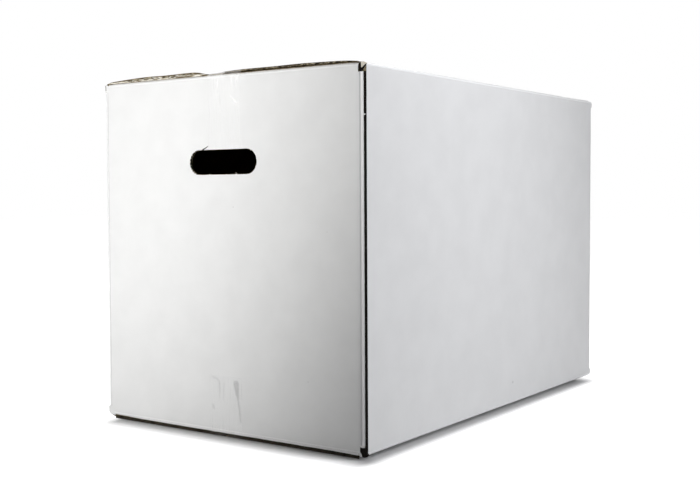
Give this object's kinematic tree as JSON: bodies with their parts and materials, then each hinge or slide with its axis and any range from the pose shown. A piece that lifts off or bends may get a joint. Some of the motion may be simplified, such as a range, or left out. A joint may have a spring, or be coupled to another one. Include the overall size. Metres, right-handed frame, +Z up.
{
  "type": "moving box",
  "caption": "Closed corrugated moving box, white outside, with a hand hole in each end panel and clear tape along both seams.",
  "frame": {"origin": "centre of the footprint, on the floor", "axes": "+Z up, -Y out of the front end panel with its hand hole, +X towards the side panel whose raw edge closes the lap joint"},
  "size_m": [0.376, 0.5752, 0.4026],
  "materials": {
    "board": "matte white-faced corrugated board, brown kraft inside and at the cut edges",
    "tape": "clear glossy packing film"
  },
  "bodies": {
    "root": {"box_board": "board", "top_tape": "tape", "bottom_tape": "tape"}
  },
  "joints": []
}
